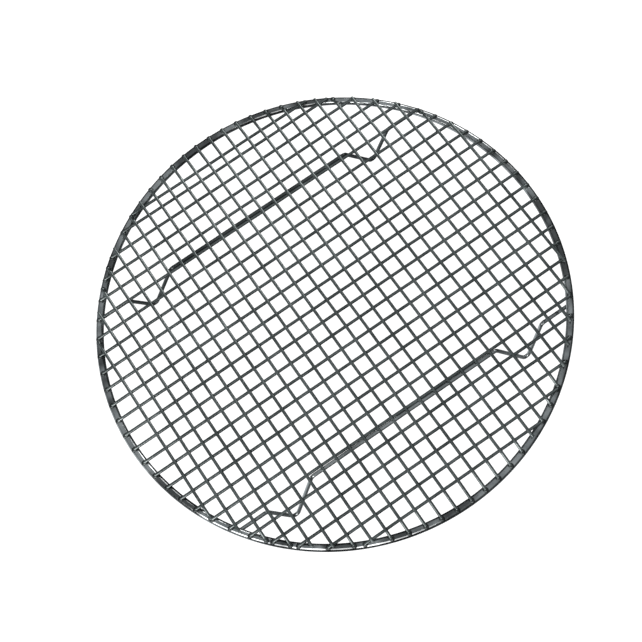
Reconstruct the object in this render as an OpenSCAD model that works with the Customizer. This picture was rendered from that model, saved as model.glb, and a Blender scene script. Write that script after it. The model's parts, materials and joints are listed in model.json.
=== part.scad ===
// Round wire cooling rack that stands on four V-shaped feet.
//
// The origin is the middle of the rack on the surface that it stands on. +X runs along the
// leg wires, +Y across them and +Z up. The rim is a ring of thick wire. Thin long wires lie
// on it along X, and thin cross wires lie over those along Y. Two bent leg wires hang under
// the cross wires and the rim. Every wire is its own solid, sunk a little into the wires
// that it is welded to.

/* [Rim] */
// Outside diameter of the rim
rim_d = 305; // [290:5:320]
// Diameter of the rim's wire
rim_wire_d = 5; // [4:0.5:6]

/* [Mesh] */
// Diameter of the long and cross wires
mesh_wire_d = 2; // [1.4:0.1:2.2]
// Spacing of the long wires
long_pitch = 10.9; // [10.3:0.1:14]
// Width of the narrow row at the back, between the last two long wires
back_row = 7.2; // [5:0.2:10]
// Spacing of the cross wires
cross_pitch = 10.4; // [10.3:0.1:14]
// Least gap between the rim's centre line and the outermost wires of a centred mesh
edge_gap = 14.6; // [14.2:0.2:20]
// How far the mesh lies off the rim's centre, along X
mesh_shift_x = 2; // [-3:0.5:3]
// How far the mesh lies off the rim's centre, along Y
mesh_shift_y = -1; // [-3:0.5:3]
// How far the cut ends of the wires stop short of the rim's outside
end_inset = 2.1; // [0.4:0.1:2.2]

/* [Legs] */
// Height of the rack, from its feet to the top of the cross wires
rack_h = 44; // [34:1:50]
// Diameter of the leg wires
leg_wire_d = 2.5; // [2:0.1:3.5]
// Number of long wires outside the one that each leg wire lies beside
leg_row = 5; // [4:1:7]
// Sideways step from that long wire to the leg wire
leg_step = 2.25; // [2.25:0.05:3.5]
// Distance from the middle of the rack to the tip of each foot, along X
foot_x = 90; // [80:0.5:92]
// Slope of a foot's arm towards the middle of the rack
inner_arm_angle = 64; // [58:1:68]
// Slope of a foot's arm towards the rim
outer_arm_angle = 71; // [66:1:76]
// Outward lean of the feet, away from the middle of the rack
foot_lean = 6; // [0:1:10]
// Bend radius at the tip of a foot
tip_bend_r = 2.5; // [2:0.5:5]
// Bend radius where a foot leaves the straight parts of its wire
knee_bend_r = 3; // [2:0.5:6]

/* [Welds] */
// How far two crossing wires sink into each other
weld_sink = 0.35; // [0.2:0.05:0.5]

/* [Hidden] */
$fn = 48;
rim_facets = 144;

rim_mid_r = (rim_d - rim_wire_d) / 2;
wire_end_r = rim_d / 2 - end_inset;

// Heights of the wires' centre lines
cross_z = rack_h - mesh_wire_d / 2;
long_z = cross_z - mesh_wire_d + weld_sink;
rim_z = long_z - (mesh_wire_d + rim_wire_d) / 2 + weld_sink;
leg_top_z = cross_z - (mesh_wire_d + leg_wire_d) / 2 + weld_sink;
leg_stub_z = rim_z - (rim_wire_d + leg_wire_d) / 2 + weld_sink;

// As many wires as fit across the rim. The long wires start at the front at an even spacing,
// and one more closes the back after a narrow row of cells.
mesh_room = 2 * (rim_mid_r - edge_gap);
cross_count = floor(mesh_room / cross_pitch) + 1;
cross_xs = [for (i = [0:cross_count - 1]) (i - (cross_count - 1) / 2) * cross_pitch + mesh_shift_x];
even_rows = floor((mesh_room - back_row) / long_pitch);
even_span = even_rows * long_pitch;
long_front_y = mesh_shift_y - (even_span + back_row) / 2;
long_ys = [
    for (i = [0:even_rows]) long_front_y + i * long_pitch,
    long_front_y + even_span + back_row
];
long_count = len(long_ys);

// A cross wire dips to the rim past the last long wire, where there is room to bend
dip_bend_reach = 0.9;
dip_slope = 0.45;
dip_min_room = 2.5;
dip_short_of_rim = 1;

leg_front_y = long_ys[leg_row] - leg_step;
leg_back_y = long_ys[long_count - 1 - leg_row] + leg_step;

// Depths below a leg wire's straight part, measured along its leaning feet. The corner of a
// foot's two arms lies low enough for the bend in it to touch the ground.
stub_depth = (leg_top_z - leg_stub_z) / cos(foot_lean);
mean_arm_angle = (inner_arm_angle + outer_arm_angle) / 2;
half_arm_difference = (outer_arm_angle - inner_arm_angle) / 2;
tip_depth = (leg_top_z - leg_wire_d / 2) / cos(foot_lean);
corner_depth = tip_depth + tip_bend_r * (cos(half_arm_difference) / cos(mean_arm_angle) - 1);

long_names = [for (i = [1:long_count]) str("long_wire_", i)];
cross_names = [for (i = [1:cross_count]) str("cross_wire_", i)];

// A bend is a hair thinner than its wire, and the straight parts reach a little into it
bend_thinning = 0.04;
bend_overlap = 0.2;

chrome = [0.66, 0.68, 0.69];
dark_chrome = [0.46, 0.47, 0.48];

// Half the length of a chord at a distance from the centre of a circle
function half_chord(r, distance) = sqrt(r * r - distance * distance);

function heading(path, i) =
    let (step = path[i + 1] - path[i])
    atan2(step.y, step.x);

// Angle from one heading to the next, positive to the left
function turn(path, i) =
    let (angle = heading(path, i) - heading(path, i - 1))
    angle > 180 ? angle - 360 : angle < -180 ? angle + 360 : angle;

function unit(angle) = [cos(angle), sin(angle)];

// How far before and after corner i its bend starts and ends
function bend_reach(path, i, r) = r * tan(abs(turn(path, i)) / 2);

// The straight part after corner i, from the bend at each of its ends
module straight(path, i, radii, wire_d) {
    last = len(path) - 1;
    skip = i == 0 ? 0 : bend_reach(path, i, radii[i]) - bend_overlap;
    stop = i == last - 1 ? 0 : bend_reach(path, i + 1, radii[i + 1]) - bend_overlap;
    start = path[i] + unit(heading(path, i)) * skip;
    translate([start.x, start.y, 0])
    rotate([0, 90, heading(path, i)])
    cylinder(d = wire_d, h = norm(path[i + 1] - path[i]) - skip - stop);
}

module bend(path, i, r, wire_d) {
    angle = turn(path, i);
    side = sign(angle);
    inward = heading(path, i - 1) + side * 90;
    centre = path[i] - unit(heading(path, i - 1)) * bend_reach(path, i, r) + unit(inward) * r;
    translate([centre.x, centre.y, 0])
    rotate([0, 0, inward + 180 + min(angle, 0)])
    rotate_extrude(angle = abs(angle))
    translate([r, 0])
    circle(d = wire_d - bend_thinning);
}

// A round wire along [along, up] points, with radii[i] as the bend at each corner
module bent_wire(path, radii, wire_d) {
    last = len(path) - 1;
    for (i = [0:last - 1]) {
        straight(path, i, radii, wire_d);
    }
    if (last > 1) {
        for (i = [1:last - 1]) {
            bend(path, i, radii[i], wire_d);
        }
    }
}

// Turns a flat [along, up] path so that it runs along X or along Y
module along_x(y) {
    translate([0, y, 0]) rotate([90, 0, 0]) children();
}

module along_y(x) {
    translate([x, 0, 0]) rotate([90, 0, 90]) children();
}

module rim() {
    color(chrome)
    translate([0, 0, rim_z])
    rotate_extrude($fn = rim_facets)
    translate([rim_mid_r, 0])
    circle(d = rim_wire_d, $fn = 48);
}

module long_wire(y) {
    reach = half_chord(wire_end_r, y);
    color(chrome)
    along_x(y)
    bent_wire([[-reach, long_z], [reach, long_z]], [], mesh_wire_d);
}

// The points from a cross wire's straight middle to its end, on one side of the rack
function cross_wire_end(x, side) =
    let (
        end_y = half_chord(wire_end_r, x),
        rim_y = half_chord(rim_mid_r, x),
        last_long_y = max([for (y = long_ys) if (side * y < rim_y) side * y]),
        dip_from = last_long_y + mesh_wire_d,
        dip_to = rim_y - dip_short_of_rim,
        low_z = max(long_z, cross_z - dip_slope * (dip_to - dip_from))
    )
    dip_to - dip_from < dip_min_room
        ? [[side * end_y, cross_z]]
        : [[side * dip_from, cross_z], [side * dip_to, low_z], [side * end_y, low_z]];

function reversed(list) = [for (i = [len(list) - 1:-1:0]) list[i]];

module cross_wire(x) {
    path = concat(reversed(cross_wire_end(x, -1)), cross_wire_end(x, 1));
    last = len(path) - 1;
    radii = [
        for (i = [0:last])
        i == 0 || i == last ? 0 : dip_bend_reach / tan(abs(turn(path, i)) / 2)
    ];
    color(chrome)
    along_y(x)
    bent_wire(path, radii, mesh_wire_d);
}

// One end of a leg wire: its foot, then the stub that is welded under the rim
function leg_wire_end(y) =
    let (
        inner_x = foot_x - corner_depth / tan(inner_arm_angle),
        outer_x = foot_x + (corner_depth - stub_depth) / tan(outer_arm_angle),
        stub_y = abs(y) + stub_depth * sin(foot_lean),
        end_x = half_chord(rim_mid_r + leg_wire_d / 3, stub_y)
    )
    [[inner_x, 0], [foot_x, -corner_depth], [outer_x, -stub_depth], [end_x, -stub_depth]];

// The whole wire is flat, and leans outwards about its straight part
module leg_wire(y) {
    right = leg_wire_end(y);
    left = [for (p = reversed(right)) [-p.x, p.y]];
    radii = [0, knee_bend_r, tip_bend_r, knee_bend_r, knee_bend_r, tip_bend_r, knee_bend_r, 0];
    color(dark_chrome)
    translate([0, y, leg_top_z])
    rotate([90 + sign(y) * foot_lean, 0, 0])
    bent_wire(concat(left, right), radii, leg_wire_d);
}

rim();
leg_wire(leg_front_y);  // leg_wire_front
leg_wire(leg_back_y);  // leg_wire_back
for (i = [0:long_count - 1]) {
    long_wire(long_ys[i]);
}
for (i = [0:cross_count - 1]) {
    cross_wire(cross_xs[i]);
}
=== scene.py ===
import bpy
import bmesh
import json
import math
import random
from mathutils import Matrix, Quaternion, Vector, noise


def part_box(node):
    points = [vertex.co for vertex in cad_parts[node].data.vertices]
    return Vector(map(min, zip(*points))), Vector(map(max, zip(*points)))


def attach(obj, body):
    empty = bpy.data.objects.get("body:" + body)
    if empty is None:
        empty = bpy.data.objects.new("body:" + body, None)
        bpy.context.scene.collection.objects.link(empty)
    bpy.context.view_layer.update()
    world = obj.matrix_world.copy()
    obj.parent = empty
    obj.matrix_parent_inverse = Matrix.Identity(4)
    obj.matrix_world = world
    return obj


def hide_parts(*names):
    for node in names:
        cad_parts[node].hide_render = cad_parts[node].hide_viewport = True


# A round wire cooling rack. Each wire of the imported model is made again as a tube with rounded
# cut ends and a plated metal, and welds are added where wires cross. Then come the floor, the
# light and the camera. Lengths are in metres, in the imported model's frame.
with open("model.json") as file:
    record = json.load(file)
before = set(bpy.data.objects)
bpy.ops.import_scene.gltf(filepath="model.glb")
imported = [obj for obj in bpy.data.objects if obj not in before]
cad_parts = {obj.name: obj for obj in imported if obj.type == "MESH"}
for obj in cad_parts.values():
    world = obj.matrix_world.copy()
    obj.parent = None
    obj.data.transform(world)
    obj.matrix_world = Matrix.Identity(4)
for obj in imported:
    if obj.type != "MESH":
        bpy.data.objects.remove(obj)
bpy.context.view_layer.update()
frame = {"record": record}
MM = 0.001
random.seed(7)

# ---------------------------------------------------------------- sizes from the frame
slot_of = {s["node"]: s["material_slot"] for s in frame["record"]["subparts"]}
box = {node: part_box(node) for node in slot_of}


def numbered(prefix):
    """The nodes named by a prefix and a number, in the order of their numbers."""
    nodes = [node for node in slot_of if node.startswith(prefix)]
    return sorted(nodes, key=lambda node: int(node[len(prefix):]))


def mid(node):
    lo, hi = box[node]
    return (Vector(lo) + Vector(hi)) / 2


def size(node):
    lo, hi = box[node]
    return Vector(hi) - Vector(lo)


def half_chord(radius, distance):
    """Half the length of a chord at a distance from the centre of a circle."""
    return math.sqrt(radius * radius - distance * distance)


LONG = numbered("long_wire_")
CROSS = numbered("cross_wire_")
LEGS = ["leg_wire_front", "leg_wire_back"]
LEG_SIDES = (-1, 1)

# Radii of the wires, and the places of their centre lines
rim_wire_r = size("rim").z / 2
rim_mid_r = size("rim").x / 2 - rim_wire_r
rim_z = mid("rim").z
mesh_r = size(LONG[0]).y / 2
long_z = mid(LONG[0]).z
long_ys = [mid(node).y for node in LONG]
cross_z = max(box[node][1][2] for node in CROSS) - mesh_r
cross_xs = [mid(node).x for node in CROSS]
# The leg wires lean, so their boxes don't give their radius
leg_r = 1.25 * MM
leg_top_z = box[LEGS[0]][1][2] - leg_r
leg_ys = [box[LEGS[0]][1][1] - leg_r, box[LEGS[1]][0][1] + leg_r]
# A leg wire's ends are stubs that are sunk a little into the underside of the rim
WELD_SINK = 0.35 * MM
stub_z = rim_z - rim_wire_r - leg_r + WELD_SINK

# Past the last long wire, a cross wire dips to the rim where there is room
DIP_START = 2 * mesh_r
DIP_END = 1 * MM
DIP_MIN_ROOM = 2.5 * MM
DIP_SLOPE = 0.45
DIP_BEND_REACH = 0.9 * MM

# The feet's shape repeats part.scad's. Depths are below a leg wire's straight part, measured
# along its leaning feet.
FOOT_X = 90 * MM
TIP_BEND_R = 2.5 * MM
KNEE_BEND_R = 3 * MM
INNER_ARM = math.radians(64)
OUTER_ARM = math.radians(71)
FOOT_LEAN = math.radians(6)
LEG_RADII = [0, KNEE_BEND_R, TIP_BEND_R, KNEE_BEND_R, KNEE_BEND_R, TIP_BEND_R, KNEE_BEND_R, 0]
corner_drop = math.cos((OUTER_ARM - INNER_ARM) / 2) / math.cos((OUTER_ARM + INNER_ARM) / 2) - 1
stub_depth = (leg_top_z - stub_z) / math.cos(FOOT_LEAN)
corner_depth = (leg_top_z - leg_r) / math.cos(FOOT_LEAN) + TIP_BEND_R * corner_drop
inner_x = FOOT_X - corner_depth / math.tan(INNER_ARM)
outer_x = FOOT_X + (corner_depth - stub_depth) / math.tan(OUTER_ARM)

# How finely wires are made, and how far they wander as drawn and welded wire does
PATH_STEP = 5 * MM
ARC_STEP_DEGREES = 7
MESH_WOBBLE = 0.2 * MM
LEG_WOBBLE = 0.1 * MM
WOBBLES_PER_MM = 0.035
WOBBLE_UP_SHARE = 0.4
ACROSS_ROW, UP_ROW = 1.7, 9.2
WIRE_SEED_STEP = 3.1
CROSS_SEED = 100
LEG_SEED_PER_METRE = 50


# ---------------------------------------------------------------- mesh helpers
def finished(bm, name):
    mesh = bpy.data.meshes.new(name)
    bm.to_mesh(mesh)
    bm.free()
    return mesh


def new_object(name, mesh, material, slot, *nodes):
    """A smooth piece of the rack that stands for some CAD nodes."""
    obj = bpy.data.objects.new(name, mesh)
    bpy.context.scene.collection.objects.link(obj)
    for polygon in mesh.polygons:
        polygon.use_smooth = True
    mesh.materials.append(material)
    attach(obj, "root")
    if nodes:
        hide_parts(*nodes)


def rounded_path(points, radii):
    """A path whose corners are arcs of the given radii."""
    path = [points[0].copy()]
    for before, corner, after, radius in zip(points, points[1:], points[2:], radii[1:]):
        u = (before - corner).normalized()
        v = (after - corner).normalized()
        turn = math.pi - u.angle(v)
        reach = radius * math.tan(turn / 2)
        start, end = corner + u * reach, corner + v * reach
        centre = corner + (u + v).normalized() * (radius / math.cos(turn / 2))
        axis = (start - centre).cross(end - centre).normalized()
        steps = max(3, int(math.degrees(turn) / ARC_STEP_DEGREES))
        for k in range(steps + 1):
            path.append(centre + Quaternion(axis, turn * k / steps) @ (start - centre))
    path.append(points[-1].copy())
    return path


def fill_path(path):
    """The same path with points no further apart than PATH_STEP."""
    filled = [path[0]]
    for a, b in zip(path, path[1:]):
        steps = max(1, int(math.ceil((b - a).length / PATH_STEP)))
        filled += [a.lerp(b, k / steps) for k in range(1, steps + 1)]
    return filled


def tube_stations(path, r, end_round):
    """Place, heading and radius of each loop of a tube. Its two cut ends are a little rounded."""
    edge = r * end_round
    clear_of_cap = 1.5 * edge
    first = (path[1] - path[0]).normalized()
    last = (path[-1] - path[-2]).normalized()
    cap_angles = (0, 0.52, 1.05, math.pi / 2)
    cap = [(edge * (1 - math.sin(t)), r - edge * (1 - math.cos(t))) for t in cap_angles]
    stations = [(path[0] + first * inset, first, radius) for inset, radius in reversed(cap)]
    for a, p, b in zip(path, path[1:], path[2:]):
        if min((p - path[0]).length, (p - path[-1]).length) > clear_of_cap:
            heading = ((p - a).normalized() + (b - p).normalized()).normalized()
            stations.append((p, heading, r))
    stations += [(path[-1] - last * inset, last, radius) for inset, radius in cap]
    return stations


def tube(path, r, side, segments=16, end_round=0.35, wobble=0.0, seed=0.0):
    """A wire along a path. side is a direction square to the path's plane, and wobble is how far
    the wire wanders."""
    bm = bmesh.new()
    loops = []
    across = side.normalized()
    for place, heading, radius in tube_stations(path, r, end_round):
        up = across.cross(heading).normalized()
        along = (place - path[0]).length / MM * WOBBLES_PER_MM
        wander = across * noise.noise((along, seed, ACROSS_ROW))
        wander += up * WOBBLE_UP_SHARE * noise.noise((along, seed, UP_ROW))
        centre = place + wander * wobble
        loop = []
        for k in range(segments):
            angle = 2 * math.pi * k / segments
            outward = across * math.cos(angle) + up * math.sin(angle)
            loop.append(bm.verts.new(centre + outward * radius))
        loops.append(loop)
    for a, b in zip(loops, loops[1:]):
        for k in range(segments):
            j = (k + 1) % segments
            bm.faces.new((a[k], a[j], b[j], b[k]))
    bm.faces.new(list(reversed(loops[0])))
    bm.faces.new(loops[-1])
    bmesh.ops.recalc_face_normals(bm, faces=bm.faces)
    return finished(bm, "tube")


def ring(radius, r, z, around=288, segments=32):
    """A level ring of round wire."""
    bm = bmesh.new()
    loops = []
    for i in range(around):
        turn = 2 * math.pi * i / around
        outward = Vector((math.cos(turn), math.sin(turn), 0))
        loop = []
        for k in range(segments):
            angle = 2 * math.pi * k / segments
            level = Vector((0, 0, z + r * math.sin(angle)))
            loop.append(bm.verts.new(outward * (radius + r * math.cos(angle)) + level))
        loops.append(loop)
    for i in range(around):
        a, b = loops[i], loops[(i + 1) % around]
        for k in range(segments):
            j = (k + 1) % segments
            bm.faces.new((a[k], b[k], b[j], a[j]))
    bmesh.ops.recalc_face_normals(bm, faces=bm.faces)
    return finished(bm, "ring")


def beads(welds):
    """Small flattened lumps, one for each weld's place, radii and heading."""
    unevenness, lumps_per_bead, lumps_per_metre = 0.10, 1.3, 900
    bm = bmesh.new()
    for place, radii, heading in welds:
        turn = Matrix.Rotation(heading, 4, "Z")
        made = bmesh.ops.create_icosphere(bm, subdivisions=2, radius=1.0)["verts"]
        for v in made:
            lump = 1 + unevenness * noise.noise(v.co * lumps_per_bead + place * lumps_per_metre)
            stretched = Vector((v.co.x * radii[0], v.co.y * radii[1], v.co.z * radii[2]))
            v.co = turn @ stretched * lump + place
    return finished(bm, "beads")


# ---------------------------------------------------------------- materials
# How often the plating's features come per metre
CLOUDS, SPECKS, DULL_AND_PAINTED_SHADE_STRETCHES, WORN_SPOTS = 95, 620, 38, 260
SPECK_TINT = (0.45, 0.43, 0.40)
LINE_DEPTH = 0.05 * MM


class Nodes:
    """Adds nodes to the tree of a material or of the world."""

    def __init__(self, tree):
        self.tree = tree

    def add(self, kind, **values):
        node = self.tree.nodes.new(kind)
        for key, value in values.items():
            if key in node.inputs:
                node.inputs[key].default_value = value
            else:
                setattr(node, key, value)
        return node

    def link(self, a, b):
        self.tree.links.new(a, b)

    def noise(self, place, **values):
        node = self.add("ShaderNodeTexNoise", **values)
        self.link(place, node.inputs["Vector"])
        return node.outputs["Fac"]

    def map_range(self, value, lowest, highest, to_lowest, to_highest, **values):
        node = self.add("ShaderNodeMapRange", **values)
        node.inputs["From Min"].default_value = lowest
        node.inputs["From Max"].default_value = highest
        node.inputs["To Min"].default_value = to_lowest
        node.inputs["To Max"].default_value = to_highest
        self.link(value, node.inputs["Value"])
        return node.outputs["Result"]


def plating_colour(n, place, light, dark, scale, spots, patches):
    """Clouds from light to dark, small darker specks, and long stretches of a darker tone, which
    are a duller plating on most wires and painted darker reflections on the rim.
    """
    clouds = n.noise(place, Scale=CLOUDS * scale, Detail=5.0, Roughness=0.6)
    ramp = n.add("ShaderNodeValToRGB")
    low, high = ramp.color_ramp.elements
    low.position, low.color = 0.32, (*dark, 1)
    high.position, high.color = 0.72, (*light, 1)
    n.link(clouds, ramp.inputs["Fac"])

    specks = n.add("ShaderNodeTexVoronoi", Scale=SPECKS * scale)
    n.link(place, specks.inputs["Vector"])
    amount = n.map_range(specks.outputs["Distance"], 0.05, 0.30, spots, 0.0)
    speck_colour = (*(value * tint for value, tint in zip(dark, SPECK_TINT)), 1)
    specked = n.add("ShaderNodeMix", data_type="RGBA")
    amount_in, colour_in, speck_in = specked.inputs[0], specked.inputs[6], specked.inputs[7]
    speck_in.default_value = speck_colour
    n.link(amount, amount_in)
    n.link(ramp.outputs["Color"], colour_in)

    # Darker stretches: a duller plating on most wires, and on the rim, where patches is low,
    # painted darker reflections.
    stretches = n.noise(place, Scale=DULL_AND_PAINTED_SHADE_STRETCHES, Detail=2.0)
    tone = n.map_range(stretches, 0.42, 0.54, patches, 1.0)
    toned = n.add("ShaderNodeVectorMath", operation="SCALE")
    n.link(specked.outputs[2], toned.inputs[0])
    n.link(tone, toned.inputs["Scale"])
    return toned.outputs[0]


def drawing_lines(n, place, grain):
    """Fine lines along the wire. grain is how often they change along X, Y and Z."""
    stretch = n.add("ShaderNodeMapping")
    stretch.inputs["Scale"].default_value = grain
    n.link(place, stretch.inputs["Vector"])
    lines = n.noise(stretch.outputs["Vector"], Scale=1.0, Detail=2.0)
    bump = n.add("ShaderNodeBump", Strength=0.12, Distance=LINE_DEPTH)
    n.link(lines, bump.inputs["Height"])
    return bump.outputs["Normal"]


def wire_metal(name, light, dark, rough, grain, scale=1.0, spots=0.35, patches=0.75):
    """Plated drawn wire. light, dark and rough are the ends of its colours and roughness, spots is
    how strong its specks are, and patches is how much of its tone the darker stretches keep."""
    material = bpy.data.materials.new(name)
    material.use_nodes = True
    n = Nodes(material.node_tree)
    shader = n.tree.nodes["Principled BSDF"]
    place = n.add("ShaderNodeTexCoord").outputs["Object"]
    colour = plating_colour(n, place, light, dark, scale, spots, patches)
    worn = n.noise(place, Scale=WORN_SPOTS * scale, Detail=4.0)
    n.link(colour, shader.inputs["Base Color"])
    n.link(n.map_range(worn, 0.3, 0.75, *rough), shader.inputs["Roughness"])
    n.link(drawing_lines(n, place, grain), shader.inputs["Normal"])
    shader.inputs["Metallic"].default_value = 1.0
    return material


ALONG_X = (150, 3500, 3500)
ALONG_Y = (3500, 150, 3500)
ROUND = (900, 900, 2500)
# The mesh wires' plating is painted dark, darker than the same plating on the rim and the front
# leg: painted shade for the dark room the wires mirror.
MESH_LIGHT, MESH_DARK, MESH_ROUGH = (0.40, 0.435, 0.43), (0.22, 0.245, 0.24), (0.16, 0.30)
long_metal = wire_metal("long_wire_metal", MESH_LIGHT, MESH_DARK, MESH_ROUGH, ALONG_X)
cross_metal = wire_metal("cross_wire_metal", MESH_LIGHT, MESH_DARK, MESH_ROUGH, ALONG_Y)
# The two leg wires have the same plating in two copies: the front one is painted light as a
# painted highlight, and the back one dark as painted shade.
lit_and_shaded_leg_metals = {
    "leg_wire_front": wire_metal(
        "front_leg_painted_lit_metal", (0.80, 0.82, 0.82), (0.54, 0.56, 0.56), (0.10, 0.24), ALONG_X, 0.8),
    "leg_wire_back": wire_metal(
        "back_leg_painted_shaded_metal", (0.24, 0.255, 0.255), (0.12, 0.13, 0.13), (0.12, 0.26), ALONG_X, 0.8),
}
# The rim's plating is painted from near white to half grey in strong darker stretches, lighter
# than the mesh wires' same plating: painted highlights and painted reflections.
rim_metal_with_painted_reflections = wire_metal(
    "rim_metal_with_painted_reflections", (0.97, 0.98, 0.98), (0.50, 0.52, 0.53), (0.08, 0.26), ROUND, 1.1, 0.4, 0.3)
weld_metal = wire_metal(
    "weld_metal", (0.16, 0.17, 0.17), (0.07, 0.08, 0.08), (0.3, 0.5), ROUND, 1.6)


# ---------------------------------------------------------------- the rack
def make_rim():
    mesh = ring(rim_mid_r, rim_wire_r, rim_z)
    new_object("rim_ring", mesh, rim_metal_with_painted_reflections, slot_of["rim"], "rim")


def make_long_wires():
    for i, (node, y) in enumerate(zip(LONG, long_ys)):
        x0, x1 = box[node][0][0], box[node][1][0]
        path = fill_path([Vector((x0, y, long_z)), Vector((x1, y, long_z))])
        side = Vector((0, 1, 0))
        mesh = tube(path, mesh_r, side, wobble=MESH_WOBBLE, seed=i * WIRE_SEED_STEP)
        new_object(node + "_tube", mesh, long_metal, slot_of[node], node)


def cross_end(node, x, side):
    """A cross wire's points from its straight middle to one end."""
    end_y = box[node][1][1] if side > 0 else -box[node][0][1]
    rim_y = half_chord(rim_mid_r, x)
    last_long_y = max(side * y for y in long_ys if side * y < rim_y)
    dip_from, dip_to = last_long_y + DIP_START, rim_y - DIP_END
    room = dip_to - dip_from
    if room < DIP_MIN_ROOM:
        return [Vector((x, side * end_y, cross_z))]
    low_z = max(long_z, cross_z - DIP_SLOPE * room)
    corners = ((dip_from, cross_z), (dip_to, low_z), (end_y, low_z))
    return [Vector((x, side * y, z)) for y, z in corners]


def dip_radii(points):
    """Bend radii that give each corner of a cross wire the same reach."""
    radii = [0]
    for before, corner, after in zip(points, points[1:], points[2:]):
        turn = (corner - before).angle(after - corner)
        radii.append(DIP_BEND_REACH / math.tan(turn / 2))
    return radii + [0]


def make_cross_wires():
    for i, (node, x) in enumerate(zip(CROSS, cross_xs)):
        points = cross_end(node, x, -1)[::-1] + cross_end(node, x, 1)
        path = fill_path(rounded_path(points, dip_radii(points)))
        side = Vector((1, 0, 0))
        seed = CROSS_SEED + i * WIRE_SEED_STEP
        mesh = tube(path, mesh_r, side, wobble=MESH_WOBBLE, seed=seed)
        new_object(node + "_tube", mesh, cross_metal, slot_of[node], node)


def make_leg_wires():
    """Each leg wire is flat, and leans outwards about its straight part."""
    for node, y, side in zip(LEGS, leg_ys, LEG_SIDES):
        end_x = box[node][1][0]
        right = [(inner_x, 0), (FOOT_X, corner_depth), (outer_x, stub_depth), (end_x, stub_depth)]
        flat = [(-x, depth) for x, depth in reversed(right)] + right
        points = []
        for x, depth in flat:
            out_y = y + side * depth * math.sin(FOOT_LEAN)
            points.append(Vector((x, out_y, leg_top_z - depth * math.cos(FOOT_LEAN))))
        path = fill_path(rounded_path(points, LEG_RADII))
        square = Vector((0, math.cos(FOOT_LEAN), side * math.sin(FOOT_LEAN)))
        seed = y * LEG_SEED_PER_METRE
        mesh = tube(path, leg_r, square, 24, end_round=0.3, wobble=LEG_WOBBLE, seed=seed)
        new_object(node + "_tube", mesh, lit_and_shaded_leg_metals[node], slot_of[node], node)


# ---------------------------------------------------------------- welds
def crossing_welds():
    """A lump at each crossing of two mesh wires inside the rim."""
    across, height = 1.25 * MM, 0.55 * MM
    welds = []
    for x in cross_xs:
        for y in long_ys:
            if math.hypot(x, y) < rim_mid_r - rim_wire_r:
                grow = random.uniform(0.9, 1.12)
                place = Vector((x, y, (long_z + cross_z) / 2))
                heading = random.uniform(0, 3)
                welds.append((place, (across * grow, across * grow, height), heading))
    return welds


def rim_welds():
    """A lump under each mesh wire's end that lies on the rim."""
    length, width, height = 2.2 * MM, 1.8 * MM, 0.9 * MM
    least_dip = 0.9 * MM
    welds = []
    for y in long_ys:
        for side in (-1, 1):
            x = side * half_chord(rim_mid_r, y)
            place = Vector((x, y, (long_z - mesh_r + rim_z + rim_wire_r) / 2))
            welds.append((place, (length, width, height), 0))
    for node, x in zip(CROSS, cross_xs):
        for side in (-1, 1):
            end_z = cross_end(node, x, side)[-1].z
            if end_z < cross_z - least_dip:
                y = side * half_chord(rim_mid_r, x)
                place = Vector((x, y, (end_z - mesh_r + rim_z + rim_wire_r) / 2))
                welds.append((place, (width, length, height), 0))
    return welds


def leg_welds():
    """Lumps between the leg wires and the cross wires over them, and between the leg wires'
    stubs and the rim."""
    cross_radii = (1.2 * MM, 1.5 * MM, 0.5 * MM)
    stub_radii = (2.2 * MM, 1.7 * MM, 0.7 * MM)
    cross_weld_z = (cross_z - mesh_r + leg_top_z + leg_r) / 2
    stub_weld_z = (rim_z - rim_wire_r + stub_z + leg_r) / 2
    welds = []
    for y, side in zip(leg_ys, LEG_SIDES):
        for x in cross_xs:
            if abs(x) < inner_x - 2 * MM:
                welds.append((Vector((x, y, cross_weld_z)), cross_radii, 0))
        stub_y = y + side * stub_depth * math.sin(FOOT_LEAN)
        for end in (-1, 1):
            x = end * half_chord(rim_mid_r, stub_y)
            welds.append((Vector((x, stub_y, stub_weld_z)), stub_radii, 0))
    return welds


make_rim()
make_long_wires()
make_cross_wires()
make_leg_wires()
new_object("mesh_welds", beads(crossing_welds() + rim_welds()), weld_metal, slot_of[LONG[0]])
new_object("leg_welds", beads(leg_welds()), weld_metal, slot_of[LEGS[0]])


# ---------------------------------------------------------------- floor and backdrop
def white_paper():
    """Paper that is bright enough by itself to read as white."""
    material = bpy.data.materials.new("paper")
    material.use_nodes = True
    shader = material.node_tree.nodes["Principled BSDF"]
    shader.inputs["Base Color"].default_value = (0.3, 0.3, 0.3, 1)
    shader.inputs["Roughness"].default_value = 0.95
    shader.inputs["Specular IOR Level"].default_value = 0.0
    shader.inputs["Emission Color"].default_value = (1, 1, 1, 1)
    shader.inputs["Emission Strength"].default_value = 0.93
    return material


def stage_object(name, bm, material):
    """A piece of the studio, which the wires don't mirror."""
    mesh = finished(bm, name)
    mesh.materials.append(material)
    obj = bpy.data.objects.new(name, mesh)
    bpy.context.scene.collection.objects.link(obj)
    obj.visible_glossy = False
    return obj


def make_floor(paper):
    reach = 6
    bm = bmesh.new()
    bmesh.ops.create_grid(bm, x_segments=4, y_segments=4, size=reach)
    stage_object("floor", bm, paper)


def make_backdrop(paper):
    """A round wall, which only the camera sees."""
    radius, height = 5.5, 8
    bm = bmesh.new()
    bmesh.ops.create_cone(
        bm, cap_ends=False, segments=64, radius1=radius, radius2=radius, depth=height)
    wall = stage_object("backdrop", bm, paper)
    wall.location.z = height / 2
    wall.visible_diffuse = False
    wall.visible_shadow = False


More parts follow.
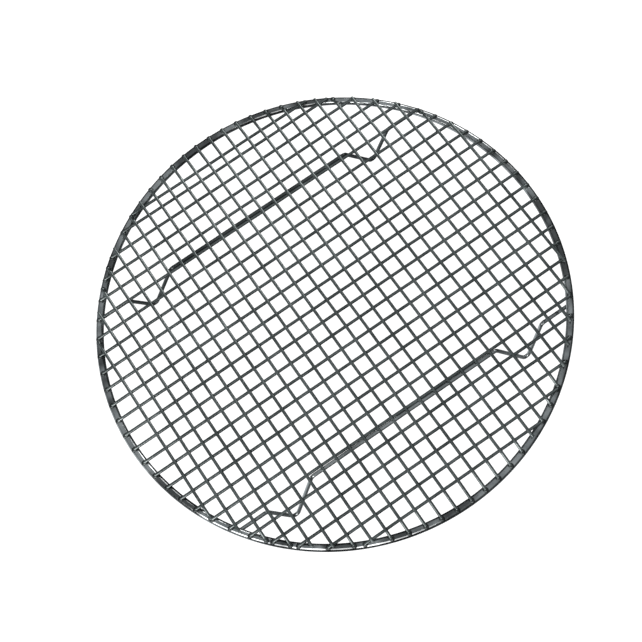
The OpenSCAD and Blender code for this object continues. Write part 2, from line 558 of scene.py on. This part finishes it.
# ---------------------------------------------------------------- light and camera
def light_room():
    """A room that is brightest overhead and dark at eye level. The floor throws back some light,
    and there is a glow low on the left."""
    world = bpy.data.worlds.new("studio")
    bpy.context.scene.world = world
    world.use_nodes = True
    n = Nodes(world.node_tree)
    background = n.tree.nodes["Background"]
    heading = n.add("ShaderNodeTexCoord").outputs["Generated"]
    axes = n.add("ShaderNodeSeparateXYZ")
    n.link(heading, axes.inputs["Vector"])
    height = axes.outputs["Z"]

    # The glow's edges are cosines of the angle from its middle
    towards_glow = n.add("ShaderNodeVectorMath", operation="DOT_PRODUCT")
    towards_glow.inputs[1].default_value = Vector((-0.78, 0.33, -0.52)).normalized()
    n.link(heading, towards_glow.inputs[0])
    closeness = towards_glow.outputs["Value"]
    soft = {"interpolation_type": "SMOOTHSTEP"}
    overhead = n.map_range(height, 0.05, 0.75, 0.0, 0.26, **soft)
    from_floor = n.map_range(height, -0.35, -0.95, 0.0, 0.15, **soft)
    low_left = n.map_range(closeness, 0.6, 0.95, 0.0, 0.5, **soft)

    total = n.add("ShaderNodeMath", operation="ADD")
    total.inputs[1].default_value = 0.04
    n.link(overhead, total.inputs[0])
    for light in (from_floor, low_left):
        more = n.add("ShaderNodeMath", operation="ADD")
        n.link(light, more.inputs[0])
        n.link(total.outputs[0], more.inputs[1])
        total = more
    n.link(total.outputs[0], background.inputs["Strength"])
    background.inputs["Color"].default_value = (0.9, 0.97, 1.0, 1)


def softbox(name, azimuth, elevation, distance, width, height, power, glossy=True):
    """An area light that looks at the rack. Azimuth is from +X towards +Y."""
    data = bpy.data.lights.new(name, "AREA")
    data.shape = "RECTANGLE"
    data.size = width
    data.size_y = height
    data.energy = power
    obj = bpy.data.objects.new(name, data)
    bpy.context.scene.collection.objects.link(obj)
    a, e = math.radians(azimuth), math.radians(elevation)
    back = Vector((math.cos(e) * math.cos(a), math.cos(e) * math.sin(a), math.sin(e)))
    obj.location = back * distance
    obj.rotation_mode = "QUATERNION"
    obj.rotation_quaternion = back.to_track_quat("Z", "Y")
    obj.visible_glossy = glossy


def make_camera(elevation, azimuth, roll, distance, lens_ratio, target):
    """Looks at the target from above its front. Azimuth 0 is from -Y, and grows towards +X. The
    lens ratio is the focal length over the picture's width."""
    e, a, r = map(math.radians, (elevation, azimuth, roll))
    back = Vector((math.cos(e) * math.sin(a), -math.cos(e) * math.cos(a), math.sin(e)))
    level_right = Vector((math.cos(a), math.sin(a), 0))
    level_down = (-back).cross(level_right)
    right = math.cos(r) * level_right + math.sin(r) * level_down
    down = -math.sin(r) * level_right + math.cos(r) * level_down
    data = bpy.data.cameras.new("camera")
    data.sensor_width = 36
    data.lens = data.sensor_width * lens_ratio
    cam = bpy.data.objects.new("camera", data)
    bpy.context.scene.collection.objects.link(cam)
    turn = Matrix((right, -down, back)).transposed()
    cam.matrix_world = Matrix.Translation(Vector(target) + back * distance) @ turn.to_4x4()
    bpy.context.scene.camera = cam


paper = white_paper()
make_floor(paper)
make_backdrop(paper)
light_room()
softbox(
    "overhead", azimuth=90, elevation=89, distance=1.6, width=3.0, height=3.0, power=30,
    glossy=False)
softbox("key", azimuth=222, elevation=33, distance=1.4, width=1.7, height=0.7, power=12)
softbox("rim_light", azimuth=40, elevation=30, distance=1.5, width=0.6, height=0.4, power=3)
bpy.context.scene.view_settings.view_transform = "Standard"
make_camera(
    elevation=69.51, azimuth=-14.16, roll=20.65, distance=0.8256, lens_ratio=1281.79 / 642,
    target=(-0.00725, 0.00231, 0.026))
